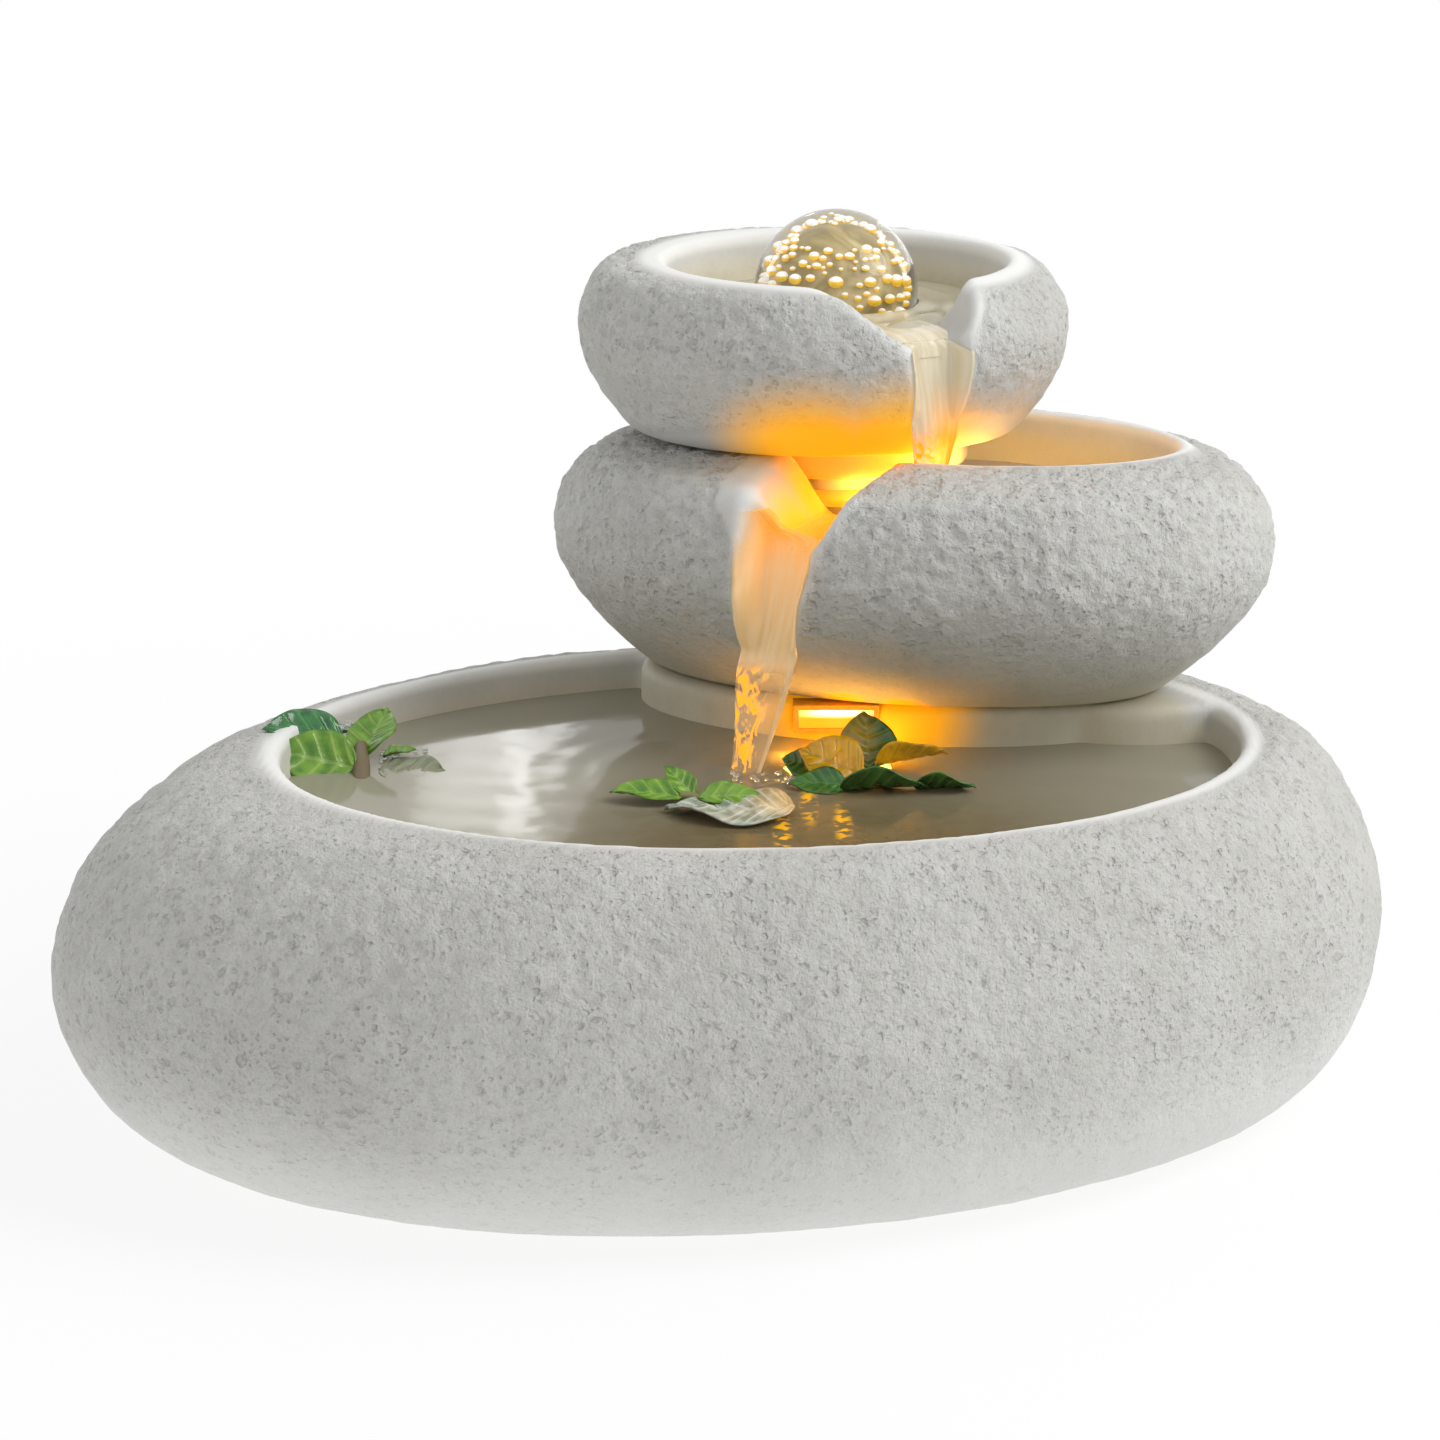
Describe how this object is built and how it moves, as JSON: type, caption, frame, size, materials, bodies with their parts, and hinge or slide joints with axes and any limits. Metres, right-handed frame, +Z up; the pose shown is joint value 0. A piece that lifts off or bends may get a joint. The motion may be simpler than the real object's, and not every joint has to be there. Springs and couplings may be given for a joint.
{
  "type": "tabletop water fountain",
  "caption": "Tabletop fountain of three stacked cast-stone pebble bowls with spouts, a glass ball on the water jet, a submersible pump and warm lights.",
  "frame": {"origin": "centre of the whole object's box, on the surface it stands on", "axes": "+Z up, +X to the right along the basin's long side, the spouts face -Y"},
  "size_m": [0.2746, 0.206, 0.1777],
  "materials": {
    "cast_stone": "matt cast stone, pitted outside, smooth in the pools and spouts",
    "clear_glass": "polished",
    "clear_acrylic": "satin moulded",
    "clear_vinyl": "soft clear tube",
    "warm_lens": "frosted",
    "black_plastic": "fine moulded grain",
    "grey_plastic": "fine moulded grain",
    "white_plastic": "smooth",
    "red_plastic": "smooth",
    "black_rubber": "matt",
    "sponge": "open foam",
    "board_white": "solder mask",
    "laminated_steel": "laminated",
    "copper_winding": "varnished wire",
    "contact_metal": "plated",
    "ferrite": "ground",
    "shaft_ceramic": "polished",
    "wire_cover": "smooth"
  },
  "bodies": {
    "base": {"basin": "cast_stone", "rubber_feet": "black_rubber", "cord_grommet": "black_rubber", "pump_housing": "black_plastic", "pump_back": "black_plastic", "stator_core": "laminated_steel", "stator_coil": "copper_winding", "rotor_shaft": "shaft_ceramic", "shaft_bushes": "black_rubber", "volute_cover": "black_plastic", "volute_seal": "black_rubber", "suction_cups": "black_rubber", "riser_tube": "clear_vinyl", "lamp_housing": "grey_plastic", "lamp_board": "board_white", "lamp_lens": "warm_lens", "lamp_wire": "wire_cover", "light_socket": "black_plastic", "socket_contacts": "contact_metal"},
    "sponge": {"filter_sponge": "sponge"},
    "rotor": {"impeller": "white_plastic", "rotor_magnet": "ferrite"},
    "cover": {"pump_cover": "black_plastic"},
    "regulator": {"flow_regulator": "red_plastic"},
    "middle": {"middle_bowl": "cast_stone", "middle_pipe": "grey_plastic", "puck_housing": "grey_plastic", "puck_board": "board_white", "puck_lens": "warm_lens", "puck_wire": "wire_cover", "light_plug": "black_plastic", "plug_pins": "contact_metal"},
    "top": {"top_bowl": "cast_stone", "ball_seat": "clear_acrylic", "pipe_seal": "black_rubber"},
    "ball": {"glass_ball": "clear_glass"}
  },
  "joints": [
    {"name": "middle_lift", "type": "slide", "parent": "base", "child": "middle", "axis": [0, 0, 1], "range_m": [0, 0.12]},
    {"name": "top_lift", "type": "slide", "parent": "middle", "child": "top", "axis": [0, 0, 1], "range_m": [0, 0.06]},
    {"name": "ball_spin", "type": "hinge", "parent": "top", "child": "ball", "pos_m": [0.0225, 0.05, 0.1604], "axis": [1, 0, 0], "continuous": true},
    {"name": "rotor_spin", "type": "hinge", "parent": "base", "child": "rotor", "pos_m": [0.0225, 0.05, 0.0533], "axis": [1, 0, 0], "continuous": true},
    {"name": "cover_slide", "type": "slide", "parent": "base", "child": "cover", "axis": [-1, 0, 0], "range_m": [0, 0.005]},
    {"name": "flow_turn", "type": "hinge", "parent": "cover", "child": "regulator", "pos_m": [0.0091, 0.05, 0.0533], "axis": [1, 0, 0], "range_deg": [0, 45]},
    {"name": "sponge_slide", "type": "slide", "parent": "base", "child": "sponge", "axis": [-1, 0, 0], "range_m": [0, 0.012]}
  ]
}
